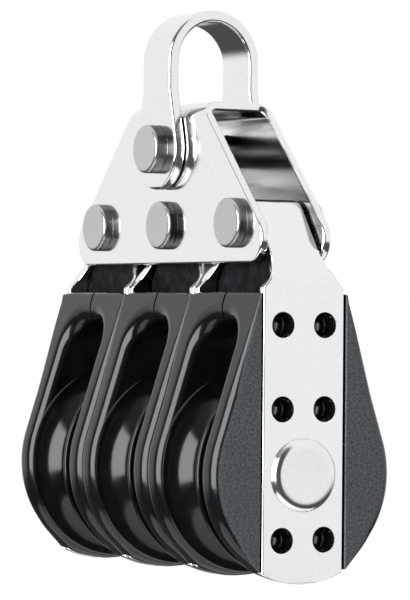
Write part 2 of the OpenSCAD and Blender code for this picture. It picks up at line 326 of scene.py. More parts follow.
def strip(path, half_width, thickness, edge, across):
    """Surface of a bent strip whose section is a rounded rectangle with corners of radius
    edge, and which thins by the same curve at both ends. across is "x" or "y"."""
    points, left, from_end = with_fine_ends(*path)
    ease = edge * (1 - np.sqrt(1 - (1 - np.clip(from_end / edge, 0, 1)) ** 2))
    a, b = half_width(points[:, 1])[:, None], (thickness / 2 - ease)[:, None]
    wide, through = rounded_rectangle(a, b, np.minimum(edge, np.minimum(a, b)))
    flat = points[:, None, :] + left[:, None, :] * through[:, :, None]
    run, rise = flat[..., 0], flat[..., 1]
    return np.stack((run, wide, rise) if across == "y" else (wide, run, rise), -1)


print("a section has", rounded_rectangle(2, 1, 0.3)[0].size, "points")

# %% [markdown]
# ## Shader maths as plain expressions
#
# A material is a small formula: how shiny, how rough, how dark at each point. Written as
# nodes, a formula is hard to read, so one class wraps a socket and lets Python's own
# operators add the Math nodes. A second class holds the node tree and makes every other
# kind of node with one method.

# %% Sockets that can be used in formulas
def maths(operation, swapped=False):
    """The method behind one of Python's operators: it adds a Math node on the value and
    the other number, the other way round if swapped."""
    def method(self, other=0.0):
        pair = (other, self) if swapped else (self, other)
        return self.tree.add("ShaderNodeMath", {"operation": operation}, *pair)

    return method


class Value:
    """A number that varies over the surface: a shader socket with the usual operators,
    and at_least and at_most for the larger and the smaller of two."""

    def __init__(self, tree, socket):
        self.tree, self.socket = tree, socket

    __add__ = __radd__ = maths("ADD")
    __mul__ = __rmul__ = maths("MULTIPLY")
    __sub__, __rsub__ = maths("SUBTRACT"), maths("SUBTRACT", swapped=True)
    __truediv__, __pow__, __abs__ = maths("DIVIDE"), maths("POWER"), maths("ABSOLUTE")
    at_least, at_most = maths("MAXIMUM"), maths("MINIMUM")

    def smooth(self, low, high):
        """0 below low, 1 above high, and a soft step in between."""
        return self.tree.add("ShaderNodeMapRange", {"interpolation_type": "SMOOTHSTEP"},
                             self, low, high, 0.0, 1.0)


class Nodes:
    """A node tree and the ways to add to it."""

    def __init__(self, tree, shader):
        self.nodes, self.links = tree.nodes, tree.links
        self.shader = self.nodes[shader]

    def add(self, kind, settings, *values, out=0, **named):
        """Makes a node: its settings first, then its sockets by order or by name."""
        node = self.nodes.new(kind)
        for key, value in settings.items():
            setattr(node, key, value)
        pairs = list(enumerate(values)) + [(k.replace("_", " "), v) for k, v in named.items()]
        for key, value in pairs:
            self.join(value, node.inputs[key])
        return Value(self, node.outputs[out])

    def join(self, value, socket):
        """Links a value to a socket, or sets the socket to a number, vector or colour."""
        if isinstance(value, Value):
            self.links.new(value.socket, socket)
        else:
            socket.default_value = value

    def set(self, name, value):
        """Gives one of the shader's own sockets a constant or a formula."""
        self.join(value, self.shader.inputs[name])

    def place(self, out="Object"):
        """The point that is being shaded, in the coordinates named by out."""
        return self.add("ShaderNodeTexCoord", {}, out=out)

    def split(self, vector):
        """The x, y and z of a vector as three values."""
        node = self.nodes.new("ShaderNodeSeparateXYZ")
        self.join(vector, node.inputs[0])
        return [Value(self, s) for s in node.outputs]

    def scaled(self, vector, scale):
        """The vector stretched along each axis, which draws a pattern out the other way."""
        return self.add("ShaderNodeMapping", {}, Vector=vector, Scale=scale)

    def noise(self, vector, scale, detail=3.0, rough=0.5):
        """Soft random values about 0.5, with scale features to the metre."""
        return self.add("ShaderNodeTexNoise", {}, Vector=vector, Scale=scale, Detail=detail,
                        Roughness=rough)

    def mix(self, share, first, second):
        """From the first colour to the second as share goes from 0 to 1."""
        node = self.nodes.new("ShaderNodeMix")
        node.data_type = "RGBA"
        for socket, value in zip((node.inputs[0], node.inputs[6], node.inputs[7]),
                                 (share, first, second)):
            self.join(value, socket)
        return Value(self, node.outputs[2])


class Finish(Nodes):
    """A material with one Principled shader in it."""

    def __init__(self, name, **constants):
        self.material = bpy.data.materials.new(name)
        self.material.use_nodes = True
        super().__init__(self.material.node_tree, "Principled BSDF")
        for socket, value in constants.items():
            self.set(socket.replace("_", " "), value)

    def relief(self, height, depth):
        """Feeds a height pattern, depth metres deep, to the shader's normal."""
        self.set("Normal", self.add("ShaderNodeBump", {}, Strength=1.0, Distance=depth,
                                    Height=height))


def grey(level, blue=0.0):
    """A near-neutral colour."""
    return (level, level * (1 + blue / 2), level * (1 + blue), 1.0)


# %% [markdown]
# ## Stainless steel
#
# The sheet parts are stainless steel that has been tumbled bright: almost a mirror, with a
# faint cloudiness and hair-fine scratches in every direction. The rivet and pin heads are
# satin, because they were turned and then set under a press. Both are the same metal, so
# one function makes them with different roughness and scratches.

# %% The formula for steel
def steel(name, level, rough, cloud, scratch_depth, blue=0.02, dull_and_painted_shading=None, dark=0.5, spread=0.4):
    """Stainless steel: roughness is rough, give or take a share of cloud from broad and fine
    noise, and the relief is two crossed sets of stretched noise, scratch_depth metres deep.
    The mask function, the argument after blue, maps x, y and z in millimetres to 1 where shade
    is painted. There the metal is a little rougher, and its grey goes from dark to dark + spread
    in drawn-out streaks of painted shade."""
    f = Finish(name, Metallic=1.0)
    at = f.place()
    clouds = f.noise(at, 260.0, 4.0, 0.55)
    fine = f.noise(at, 2600.0, 2.0)
    one_way = f.noise(f.scaled(at, (1.0, 1.0, 24.0)), 620.0, 3.0)
    other_way = f.noise(f.scaled(at, (22.0, 22.0, 1.0)), 560.0, 3.0)
    rough = rough + (clouds - 0.5) * cloud + (fine - 0.5) * cloud * 0.6
    colour = f.mix(fine.smooth(0.3, 0.7), grey(level * 0.96, blue), grey(level, blue))
    # Painted shade: where the mask is 1, the grey drops to dark and streaks up to dark + spread.
    if dull_and_painted_shading:
        mask = dull_and_painted_shading(*[v / MM for v in f.split(at)])
        bands = f.noise(f.scaled(at, (0.12, 0.12, 1.0)), 420.0, 3.0)
        painted_shade_streaks = f.mix(bands.smooth(0.4, 0.6), grey(dark), grey(dark + spread))
        colour = f.mix(mask, colour, painted_shade_streaks)
        rough = rough + mask * 0.04
    f.set("Roughness", rough)
    f.set("Base Color", colour)
    f.relief(one_way * 0.5 + other_way * 0.5 + clouds * 0.6, scratch_depth)
    return f.material


# %% [markdown]
# ## Where steel gets painted shade
#
# The inner faces of the folded header, the faces that the straps turn to each other and the
# straight walls of the heads get painted shade: a darker grey in drawn-out streaks, and a
# little more roughness. Each of these places is a soft step on a distance, worked out from
# the sizes of the parts.

# %% Sizes that the painted shade depends on
STRAP_T, STRAP_HALF, STRAP_END_R = 1.2, 6.6, 15.2
LOOP_HALF, LOOP_R, KNEE_Z, SHOULDER_Z, NECK_Z = 4.0, 3.4, 27.5, 26.0, 31.5
WAIST, SHOULDER_RISE = STRAP_HALF - LOOP_HALF, NECK_Z - SHOULDER_Z
SHOULDER_R = WAIST / 2 + SHOULDER_RISE**2 / (2 * WAIST)
HEADER_T, HEADER_HALF, HEADER_TOP, HEADER_LOW = 1.3, 5.75, 17.6, -5.65
HEAD_EDGE, HEAD_FALL = 0.5, 0.38
RIVET_HEAD_R, RIVET_HEAD_H, RIVET_R = 3.5, 1.5, 2.1
PIN_HEAD_R, PIN_HEAD_H, PIN_R, PIN_SEAT = 3.5, 1.9, 2.4, -7.6
print("the strap's shoulder is an arc of radius", round(SHOULDER_R, 2), "mm")


# %% Masks of the painted shade
def shade_inside_header(x, y, z):
    """Where shade is painted: the inner faces of the folded plates, up to just under the fold."""
    skin = HEADER_HALF - HEADER_T
    below_top = RIVETS_Z / MM + HEADER_TOP - 0.9
    inside = 1 - abs(y).smooth(skin + 0.05, skin + 0.45)
    return inside * (1 - z.smooth(below_top - 0.2, below_top))


def shade_between_units(x, y, z):
    """Where shade is painted: the faces that straps turn to each other, but not their cut edges:
    the edge is where y reaches the shoulder arc, and the outermost faces of the row stay bright."""
    above = z - (AXLE_Z / MM + NECK_Z)
    hub = LOOP_HALF + SHOULDER_R
    arc_y = hub - (SHOULDER_R**2 - above * above).at_least(0.0) ** 0.5
    edge = arc_y.at_most(STRAP_HALF) - abs(y)
    last = UNIT_X[3] / MM
    return edge.smooth(0.12, 0.4) * (1 - abs(x).smooth(last - 0.2, last + 0.2))


def shade_on_walls_of(face):
    """Where shade is painted on the straight walls under round heads: what lies nearer to the
    middle along y than the rim of a head whose face is at height face."""
    rim = face - HEAD_FALL
    return lambda x, y, z: 1 - abs(y).smooth(rim - 0.07, rim + 0.03)


# %% Steel finishes
# The header's inside, the strap faces between units and the walls under the rivet and pin heads are
# painted darker: painted shade.
STRAP_STEEL = steel("polished_strap_steel", 0.86, 0.13, 0.08, 2.5e-6,
                    dull_and_painted_shading=shade_between_units, dark=0.08, spread=0.3)
HEADER_STEEL = steel("polished_header_steel", 0.84, 0.12, 0.08, 2.5e-6, dull_and_painted_shading=shade_inside_header)
SHACKLE_STEEL = steel("polished_shackle_steel", 0.83, 0.10, 0.10, 7e-6)
RIVET_STEEL = steel("satin_rivet_steel", 0.52, 0.27, 0.16, 8e-6, 0.05,
                    dull_and_painted_shading=shade_on_walls_of(HEADER_HALF + RIVET_HEAD_H), dark=0.03, spread=0.12)
AXLE_STEEL = steel("bright_axle_steel", 0.84, 0.16, 0.08, 3e-6)
PIN_STEEL = steel("satin_pin_steel", 0.55, 0.27, 0.14, 6e-6, 0.04,
                  dull_and_painted_shading=shade_on_walls_of(PIN_HEAD_H - PIN_SEAT), dark=0.06, spread=0.2)
WIRE_STEEL = steel("drawn_wire_steel", 0.74, 0.20, 0.10, 4e-6)
CORE_METAL = steel("anodised_core_aluminium", 0.72, 0.30, 0.10, 4e-6)
print("metals:", len(bpy.data.materials))

# %% [markdown]
# ## Moulded plastics
#
# The cheeks are dark glass-filled nylon. Their broad outer faces come from a textured
# mould and are matte and grained, and their grey is painted lighter too: painted light, for
# the side light that falls on them. The edges and the window are smooth and nearly black,
# and the tongue is near black with almost no gloss as painted shade. A soft step on the
# distance from the unit's middle tells the outer faces from the rest. The sheaves are black
# acetal, turned smooth by rope, and the balls are pale acetal.

# %% Plastic finishes
def cheek_plastic(name, unit_x):
    """Dark nylon: matte and grained where the point is further out than the rounded edge, with
    its grey painted lighter there as painted light, and smooth with a faint orange peel
    elsewhere."""
    f = Finish(name, Specular_IOR_Level=0.45)
    at = f.place()
    x, y, z = f.split(at)
    outer = abs(x - unit_x).smooth((CHEEK_OUT - 0.22) * MM, (CHEEK_OUT - 0.06) * MM)
    grain = f.noise(at, 3100.0, 2.0, 0.6)
    speck = f.noise(at, 9000.0, 1.0)
    broad = f.noise(at, 180.0, 3.0)
    # The outer faces: mould grain on a grey that is painted lighter, as painted light.
    dull_and_painted_shading = f.mix(grain.smooth(0.25, 0.75), (0.022, 0.026, 0.029, 1), (0.084, 0.096, 0.104, 1))
    smooth = f.mix(broad.smooth(0.3, 0.7), (0.0022, 0.0026, 0.003, 1), (0.0045, 0.0052, 0.006, 1))
    f.set("Base Color", f.mix(outer, smooth, dull_and_painted_shading))
    f.set("Roughness", 0.16 + outer * 0.38 + (broad - 0.5) * 0.10 + (speck - 0.5) * 0.06)
    f.relief(grain * (outer * 0.9 + 0.12) + broad * 0.4, 1.6e-5)
    return f.material


def shaded_neck_plastic(name):
    """The same nylon on the tongue inside the strap, with almost no gloss and a near-black colour
    as painted shade for the strap's shadow, and a scuffed tone that varies at random.
    """
    f = Finish(name, Specular_IOR_Level=0.03)
    scuff = f.noise(f.place(), 700.0, 4.0, 0.6)
    f.set("Base Color", f.mix(scuff.smooth(0.4, 0.7), (0.004, 0.0045, 0.005, 1),
                              (0.014, 0.016, 0.018, 1)))
    f.set("Roughness", 0.42 + (scuff - 0.5) * 0.4)
    f.relief(scuff, 3e-5)
    return f.material


def sheave_plastic(name):
    """Black acetal: fine turning rings round the axle and long soft rub marks from rope."""
    f = Finish(name, Specular_IOR_Level=0.42)
    at = f.place()
    rub = f.noise(at, 420.0, 3.0)
    rings = f.noise(f.scaled(at, (14.0, 1.0, 1.0)), 300.0, 2.0)
    f.set("Base Color", f.mix(rub.smooth(0.3, 0.8), grey(0.0018, 0.2), grey(0.004, 0.2)))
    f.set("Roughness", 0.15 + (rub - 0.5) * 0.12)
    f.relief(rings * 0.5 + rub * 0.5, 5e-6)
    return f.material


def ball_plastic(name):
    """Off-white acetal with a faint mottle."""
    f = Finish(name)
    mottle = f.noise(f.place(), 900.0, 3.0)
    f.set("Base Color", f.mix(mottle, (0.74, 0.73, 0.68, 1), (0.84, 0.83, 0.79, 1)))
    f.set("Roughness", 0.26 + (mottle - 0.5) * 0.1)
    return f.material


# The tongue's nearly glossless material is painted shade.
SHADED_NECK_PLASTIC = shaded_neck_plastic("shaded_neck_nylon")
CHEEK_PLASTIC = {i: cheek_plastic(f"moulded_cheek_nylon_{i}", UNIT_X[i]) for i in UNITS}
SHEAVE_PLASTIC = sheave_plastic("black_sheave_acetal")
BALL_PLASTIC = ball_plastic("pale_ball_acetal")
print("materials:", len(bpy.data.materials))

# %% [markdown]
# ## Finishing a piece
#
# Each piece gets its material and its body in one call, and the CAD nodes that it stands
# for are hidden. Smooth shading with weighted normals keeps the flats flat and lets the
# narrow rounded edges catch the light, as on the real parts.

# %% Hand a piece over to the frame
SHARP = math.radians(32)


def fit(obj, material, body, slot, *nodes, second=None):
    """Shades the piece, gives it its material, and makes it ride on its body. A second
    material goes on the faces that carry material index 1."""
    for finish in (material, second) if second else (material,):
        obj.data.materials.append(finish)
    obj.data.shade_smooth()
    obj.data.set_sharp_from_angle(angle=SHARP)
    weigh = obj.modifiers.new("flat faces stay flat", "WEIGHTED_NORMAL")
    weigh.keep_sharp = True
    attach(obj, body)
    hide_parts(*nodes)
    print(f"{obj.name}: {len(obj.data.vertices)} points")


def shifted(shell, x=0.0, y=0.0, z=0.0):
    """A shell moved by millimetres."""
    return shell + np.array([x, y, z])


# %% [markdown]
# ## The shackle
#
# One strip of sheet makes the shackle: straight up one leg, half round over the crown and
# down the other leg. Towards the pin each leg widens into a round eye. The outline is a
# function of height above the pin: a circle, then its tangent, then the plain strip.

# %% Outline of the shackle
def touch(px, py, r, turn):
    """Angle in degrees at which a line from (px, py) touches a circle of radius r about
    the centre: the point's own direction plus or minus the angle whose cosine is r over
    its distance."""
    return math.degrees(math.atan2(py, px) + turn * math.acos(r / math.hypot(px, py)))


CROWN_R, SHACKLE_T, SHACKLE_HALF, SHACKLE_EDGE = 5.9, 1.7, 3.9, 0.42
EYE_R, EYE_TAPER = 5.85, 8.6
PIN_HOLE_R, SHEET_LIP = 2.45, 0.1


def chord(r, z):
    """Half the width of a circle of radius r at height z above its centre, and 0 outside."""
    return np.sqrt(np.clip(r**2 - z**2, 0, None))


def shackle_half_width(z):
    """Eye circle up to its touching point, straight taper to the strip, then constant."""
    angle = math.radians(touch(SHACKLE_HALF, EYE_TAPER, EYE_R, -1))
    tx, tz = EYE_R * math.cos(angle), EYE_R * math.sin(angle)
    taper = tx + (z - tz) * (SHACKLE_HALF - tx) / (EYE_TAPER - tz)
    return np.where(z < tz, chord(EYE_R, z), np.maximum(taper, SHACKLE_HALF))


print("half width at the pin and at the crown:", shackle_half_width(np.array([0.0, 12.0])))

# %% Bend the shackle
middle = CROWN_R + SHACKLE_T / 2
leg = EYE_R - PIN_Z / MM
path = bent_path((middle, -EYE_R), [(leg, 0), (middle, 180), (leg, 0)])
shackle = solid("shackle_strip", shifted(
    strip(path, shackle_half_width, SHACKLE_T, SHACKLE_EDGE, "x"), z=PIN_Z / MM))
faces = (-CROWN_R - SHACKLE_T, -CROWN_R, CROWN_R, CROWN_R + SHACKLE_T)
combine(shackle, drill("y", (0, 0, PIN_Z / MM), PIN_HOLE_R, faces, SHEET_LIP))
merge_flats(shackle)
fit(shackle, SHACKLE_STEEL, "shackle_body", "shackle_steel", "shackle")

# %% [markdown]
# ## The header
#
# The header is a trapezoid of sheet folded over into two plates. Its path runs up the
# front plate, over the top with two tight bends, and down the rear plate. The outline has
# a round lower corner, a straight slope that touches it, and a small round at the top.

# %% Outline of the header
HEADER_BEND, HEADER_EDGE, RIVET_HOLE_R = 2.3, 0.36, 2.15
FOOT_X, FOOT_R, TOP_X, TOP_R = 23.3, 3.5, 9.7, 1.5


def header_half_width(z):
    """Corner circle, the slope that touches it, and the top circle inside the slope."""
    foot_z = HEADER_LOW + FOOT_R
    slope = math.radians(touch(TOP_X - FOOT_X, HEADER_TOP - foot_z, FOOT_R, -1))
    c, s = math.cos(slope), math.sin(slope)
    reach = FOOT_X * c + foot_z * s + FOOT_R
    top_z = HEADER_TOP - TOP_R
    top_x = (reach - TOP_R - top_z * s) / c
    corner = FOOT_X + chord(FOOT_R, z - foot_z)
    crown = top_x + chord(TOP_R, z - top_z)
    side = (reach - z * s) / c
    return np.where(z < foot_z + FOOT_R * s, corner, np.where(z < top_z + TOP_R * s, side, crown))


print("half width at the rivets:", header_half_width(np.array([0.0])).round(2))

# %% Fold the header
bend = HEADER_BEND - HEADER_T / 2
plate = HEADER_HALF - HEADER_T / 2
rise = HEADER_TOP - HEADER_T / 2 - bend - HEADER_LOW
path = bent_path((plate, HEADER_LOW), [(rise, 0), (bend, 90), (2 * (plate - bend), 0),
                                       (bend, 90), (rise, 0)])
header = solid("folded_header", shifted(
    strip(path, header_half_width, HEADER_T, HEADER_EDGE, "x"), z=RIVETS_Z / MM))
faces = (-HEADER_HALF, HEADER_T - HEADER_HALF, HEADER_HALF - HEADER_T, HEADER_HALF)
combine(header, drill("y", (0, 0, PIN_Z / MM), PIN_HOLE_R, faces, SHEET_LIP))
for i in UNITS:
    at = (UNIT_X[i] / MM, 0, RIVETS_Z / MM)
    combine(header, drill("y", at, RIVET_HOLE_R, faces, SHEET_LIP))
merge_flats(header)
fit(header, HEADER_STEEL, "block_frame", "header_steel", "header")

# %% [markdown]
# ## The unit straps
#
# Each strap is a strip bent over its rivet: up one leg, in at a visible crease, round the
# loop and down again. It is wide on the cheeks and waisted where it enters the header, and
# its ends are arcs about the axle. The six round holes in each leg save weight.

# %% Shape of a strap
KNEE_R, STRAP_EDGE = 1.6, 0.27
AXLE_R, BORE_R = 3.2, 3.25
LIGHT_R, LIGHT_LIP = 1.75, 0.14
LIGHT_HOLES = [(y, z) for y in (-3.42, 3.42) for z in (-9.1, 9.1, 20.8)]
LOOP_Z = (RIVETS_Z - AXLE_Z) / MM


def strap_half_width(z):
    """End arc about the axle, plain leg, hollow shoulder arc, narrow loop."""
    hollow = LOOP_HALF + SHOULDER_R - chord(SHOULDER_R, NECK_Z - z)
    upper = np.where(z < SHOULDER_Z, STRAP_HALF, np.where(z < NECK_Z, hollow, LOOP_HALF))
    return np.where(z < 0, np.minimum(chord(STRAP_END_R, z), STRAP_HALF), upper)


def strap_shell():
    """A unit's strap about its axle centre: legs, knees and loop along one bent path."""
    leg_x, loop_r = STRAP_OUT - STRAP_T / 2, LOOP_R - STRAP_T / 2
    lean = touch(STRAP_OUT, KNEE_Z - LOOP_Z, LOOP_R, 1)
    knee_z = KNEE_Z - STRAP_T / 2 * math.tan(math.radians(lean / 2))
    cut = KNEE_R * math.tan(math.radians(lean / 2))
    slant = math.sqrt(leg_x**2 + (LOOP_Z - knee_z) ** 2 - loop_r**2) - cut
    leg = knee_z - cut + STRAP_END_R
    moves = [(leg, 0), (KNEE_R, lean), (slant, 0), (loop_r, 180 - 2 * lean), (slant, 0),
             (KNEE_R, lean), (leg, 0)]
    path = bent_path((leg_x, -STRAP_END_R), moves)
    return strip(path, strap_half_width, STRAP_T, STRAP_EDGE, "y")


# %% Bend and pierce the straps
strap = solid("strap_pattern", strap_shell())
faces = (-STRAP_OUT, STRAP_T - STRAP_OUT, STRAP_OUT - STRAP_T, STRAP_OUT)
for y, z in LIGHT_HOLES:
    combine(strap, drill("x", (0, y, z), LIGHT_R, faces, LIGHT_LIP, 40))
combine(strap, drill("x", (0, 0, 0), BORE_R, faces))
merge_flats(strap)


def copy_at(pattern, name, i, mirrored=False):
    """A copy of a pattern piece in a unit's place, mirrored left to right if asked."""
    obj = add_object(name, pattern.data.copy())
    move = Matrix.Translation((UNIT_X[i], 0, AXLE_Z))
    if mirrored:
        move = move @ Matrix.Scale(-1, 4, (1, 0, 0))
    obj.data.transform(move)
    if mirrored:
        obj.data.flip_normals()
    return obj


for i in UNITS:
    fit(copy_at(strap, f"bent_strap_{i}", i), STRAP_STEEL, "block_frame", "strap_steel",
        f"unit_strap_{i}")
bpy.data.objects.remove(strap)

# %% [markdown]
# ## Rivets, axle and pin
#
# The heads are cold formed: a flat, slightly dished face, a tight round at its rim and a
# short straight side. One half profile, mirrored for the far end, gives the rivets and
# the axle; the pin has a head at the front and a drilled tail at the rear.

# %% Profiles of the heads
DISH, FOOT_BEVEL = 0.05, 0.12


def head_profile(face, base, r, shank, edge, fall):
    """Half profile from the middle of a head's face, at height face, round its rim to the
    shank: the face dishes a little, the rim is a quarter ellipse, edge wide and fall high,
    and the foot is bevelled."""
    side = 1 if face > base else -1
    flat = r - edge
    dish = [[0, face - side * DISH], [flat * 0.55, face - side * DISH], [flat * 0.9, face]]
    rim = [[flat + edge * math.sin(t), face - side * fall * (1 - math.cos(t))]
           for t in np.linspace(0, math.pi / 2, 8)]
    foot = [[r, base + side * FOOT_BEVEL], [r - FOOT_BEVEL, base], [shank, base]]
    return dish + rim + foot


def two_headed(half, height, r, shank, edge, fall):
    """A rivet through plates whose outer faces are at plus and minus half."""
    return head_profile(-half - height, -half, r, shank, edge, fall) + \
        head_profile(half + height, half, r, shank, edge, fall)[::-1]


print("a head's profile has", len(head_profile(1, 0, 3, 2, HEAD_EDGE, HEAD_FALL)), "points")

# %% Turn the rivets and the axle
profile = two_headed(HEADER_HALF, RIVET_HEAD_H, RIVET_HEAD_R, RIVET_R, HEAD_EDGE, HEAD_FALL)
rivets = solid("header_rivet_set", *[
    spin(profile, "y", (UNIT_X[i] / MM, 0, RIVETS_Z / MM)) for i in UNITS])
fit(rivets, RIVET_STEEL, "block_frame", "rivet_steel", "header_rivets")

AXLE_HEAD_R, AXLE_HEAD_H, AXLE_EDGE, AXLE_FALL = 5.15, 0.9, 1.25, 0.78
seat = UNIT_X[3] / MM + STRAP_OUT
profile = two_headed(seat, AXLE_HEAD_H, AXLE_HEAD_R, AXLE_R, AXLE_EDGE, AXLE_FALL)
axle = solid("riveted_axle", spin(profile, "x", (0, 0, AXLE_Z / MM), 128))
fit(axle, AXLE_STEEL, "block_frame", "rivet_steel", "axle")

# %% Turn and drill the pin
PIN_TAIL, TAIL_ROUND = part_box("shackle_pin")[1].y / MM, 0.5
RING_HOLE_R, RING_Y = 0.75, centre("pin_ring").y / MM
profile = head_profile(PIN_SEAT - PIN_HEAD_H, PIN_SEAT, PIN_HEAD_R, PIN_R, HEAD_EDGE, HEAD_FALL)
profile += arc(PIN_R - TAIL_ROUND, PIN_TAIL - TAIL_ROUND, TAIL_ROUND, 0, 90).tolist()
profile += [[0, PIN_TAIL]]
pin = solid("drilled_pin", spin(profile, "y", (0, 0, PIN_Z / MM)))
cutter = drill("x", (0, RING_Y, PIN_Z / MM), RING_HOLE_R, (-PIN_R, PIN_R), SHEET_LIP, 32)
combine(pin, cutter)
fit(pin, PIN_STEEL, "shackle_body", "pin_steel", "shackle_pin")

# %% [markdown]
# ## The split ring
#
# The ring that keeps the pin in is flat wire wound twice round, as on a key ring. Its path
# goes round two full turns and steps over by one wire's thickness half way along.

# %% Wind the split ring
def split_ring(mid_r, wide, thick, start=0.6, square=0.7, count=240):
    """Two turns of a rounded strip: the angle runs from 0 to 720 degrees, past a start
    angle, and the sideways place steps smoothly over half way along. A section is a circle
    whose cosine and sine are raised to the power square, and it shrinks at both ends."""
    turn = np.linspace(0, 4 * np.pi, count)[:, None]
    step = np.clip((turn - 1.8 * np.pi) / (0.4 * np.pi), 0, 1)
    side = thick * ((3 - 2 * step) * step**2 - 0.5)
    from_end = np.clip(np.minimum(turn, 4 * np.pi - turn) * 14, 0, 1)
    ease = np.sqrt(np.clip(1 - (1 - from_end) ** 2, 0.02, 1))
    q = np.linspace(0, 2 * np.pi, 16, endpoint=False)[None, :]
    out = wide / 2 * np.sign(np.cos(q)) * np.abs(np.cos(q)) ** square * ease
    over = thick / 2 * 0.96 * np.sign(np.sin(q)) * np.abs(np.sin(q)) ** square * ease
    r = mid_r + out
    return np.stack([r * np.sin(turn + start), side + over, r * np.cos(turn + start)], -1)


ring_size, ring_at = half_size("pin_ring"), centre("pin_ring") / MM
wire = 2 * ring_size.y
ring = solid("split_ring", shifted(split_ring(ring_size.z - wire / 2, wire, wire / 2), *ring_at))
fit(ring, WIRE_STEEL, "shackle_body", "ring_wire", "pin_ring")

# %% [markdown]
# ## The sheaves
#
# A sheave is turned: a deep round groove for the rope, thin rounded lips, sides that are
# relieved between hub and rim so that they don't rub, and two ball tracks in the bore. Its
# profile is one closed loop, spun about the axle.

# %% Turn the sheaves
GROOVE_R, GROOVE_AT, LIP_R = 4.6, 14.9, 0.32
HUB_OUT, RIM_IN, RELIEF = 9.2, 12.9, 0.3
BORE_OUT, BALL_CIRCLE, TRACK_R, ROW_X = 7.9, 7.0, 1.65, 1.9


def sheave_profile():
    """The upper half runs from the bore along the side, over the lip and down the groove;
    the lower half is its mirror, and the ball tracks close the loop along the bore."""
    h, lip = SHEAVE_HALF, LIP_R
    side = [[BORE_OUT, h - 0.25], [BORE_OUT + 0.25, h], [HUB_OUT, h], [HUB_OUT + 0.3, h - RELIEF],
            [RIM_IN - 0.3, h - RELIEF], [RIM_IN, h]]
    rim = arc(SHEAVE_R - lip, h - lip, lip, 90, 0).tolist()
    lip_in = math.degrees(math.acos((SHEAVE_R - 0.15 - GROOVE_AT) / GROOVE_R))
    rim += [[SHEAVE_R, h - lip - 0.12], [SHEAVE_R - 0.05, h - lip - 0.24]]
    half = arc(GROOVE_AT, 0, GROOVE_R, lip_in, 180, 26).tolist()
    upper = side + rim + half
    lower = [[r, -a] for r, a in upper[:-1][::-1]]
    open_at = math.degrees(math.acos((BORE_OUT - BALL_CIRCLE) / TRACK_R))
    tracks = [arc(BALL_CIRCLE, x, TRACK_R, -open_at, open_at, 11).tolist() for x in (-ROW_X, ROW_X)]
    return upper + lower + sum(tracks, []) + upper[:1]


for i in UNITS:
    at = np.array([UNIT_X[i], 0, AXLE_Z]) / MM
    sheave = solid(f"turned_sheave_{i}", spin(sheave_profile(), "x", at, 128))
    fit(sheave, SHEAVE_PLASTIC, f"sheave_body_{i}", "sheave_plastic", f"sheave_{i}")

# %% [markdown]
# ## The cheeks
#
# A cheek is the hardest shape here: a plate with a teardrop outline, an arched window with
# a flared mouth so that the rope doesn't chafe, a channel for the strap and a seam where
# left and right halves meet. It is still one grid. Rows climb the outline from the bottom
# to the top. Columns go from the window's wall, round the flared mouth, over the front,
# round the outer edge and down into the channel. The rear is the front mirrored.

# %% Outline of a cheek
CHEEK_IN, SEAM_X, CHEEK_R, CHEEK_END_R = 5.65, 0.05, 14.6, 15.05
CHEEK_TOP_Y, FLANK_Z, TOP_Z, FOOT_Y = 7.0, 4.57, 25.4, 7.1
CHIN_Z, FOOT_Z = -10.75, -13.27
CHANNEL_Y, CHANNEL_X = 6.9, 8.3
ARCH_X, ARCH_Z, ARCH_R = 1.15, 17.1, 4.5
TOP_EDGE, OUTER_EDGE, CHANNEL_EDGE, THIN_EDGE = 0.45, 1.55, 0.2, 0.06
EDGE_SHARE, BESIDE, SEAM_NOTCH, LEVEL_OFF = 0.32, 0.15, 0.16, 3.4


def cheek_outline(z):
    """Half depth at each height: end arc, straight chin, round belly, straight flank."""
    foot_y, chin_y = chord(CHEEK_END_R, FOOT_Z), chord(CHEEK_R, CHIN_Z)
    flank_y = chord(CHEEK_R, FLANK_Z)
    chin = foot_y + (z - FOOT_Z) * (chin_y - foot_y) / (CHIN_Z - FOOT_Z)
    flank = flank_y + (z - FLANK_Z) * (CHEEK_TOP_Y - flank_y) / (TOP_Z - FLANK_Z)
    return np.select([z < FOOT_Z, z < CHIN_Z, z < FLANK_Z],
                     [chord(CHEEK_END_R, z), chin, chord(CHEEK_R, z)], flank)


def outline_normal(z):
    """Unit normal of the outline, from its slope; it turns level towards the flat top."""
    step = 0.02
    low, high = np.clip(z - step, -CHEEK_END_R, None), z + step
    slope = (cheek_outline(high) - cheek_outline(low)) / (high - low)
    slope = slope * np.clip((TOP_Z - z) / LEVEL_OFF, 0, 1)
    size = np.sqrt(1 + slope**2)
    return 1 / size, -slope / size


def cheek_rows():
    """Heights of the rows, with the arch angle, the seam share and the top inset of each."""
    end = np.degrees(np.arccos(-FOOT_Z / CHEEK_END_R))
    bottom = -CHEEK_END_R * np.cos(np.radians(np.linspace(0, end, 12)))
    chin = np.linspace(FOOT_Z, CHIN_Z, 6)[1:]
    belly = CHEEK_R * np.sin(np.linspace(math.asin(CHIN_Z / CHEEK_R),
                                         math.asin(FLANK_Z / CHEEK_R), 30))[1:]
    flank = np.linspace(FLANK_Z, ARCH_Z, 14)[1:]
    alpha = np.linspace(0, np.pi / 2, 18)[1:]
    seam = np.linspace(ARCH_Z + ARCH_R, TOP_Z - TOP_EDGE, 8)
    round_off = np.linspace(0, np.pi / 2, 6)[1:]
    z = np.concatenate([bottom, chin, belly, flank, ARCH_Z + ARCH_R * np.sin(alpha), seam,
                        TOP_Z - TOP_EDGE * (1 - np.sin(round_off))])
    before, after = len(bottom) + len(chin) + len(belly) + len(flank), len(seam) + len(round_off)
    angle = np.concatenate([np.zeros(before), alpha, np.full(after, np.pi / 2)])
    at_seam = np.concatenate([np.zeros(len(z) - after), np.ones(after)])
    inset = np.concatenate([np.zeros(len(z) - len(round_off)), TOP_EDGE * (1 - np.cos(round_off))])
    return z, angle, at_seam, inset


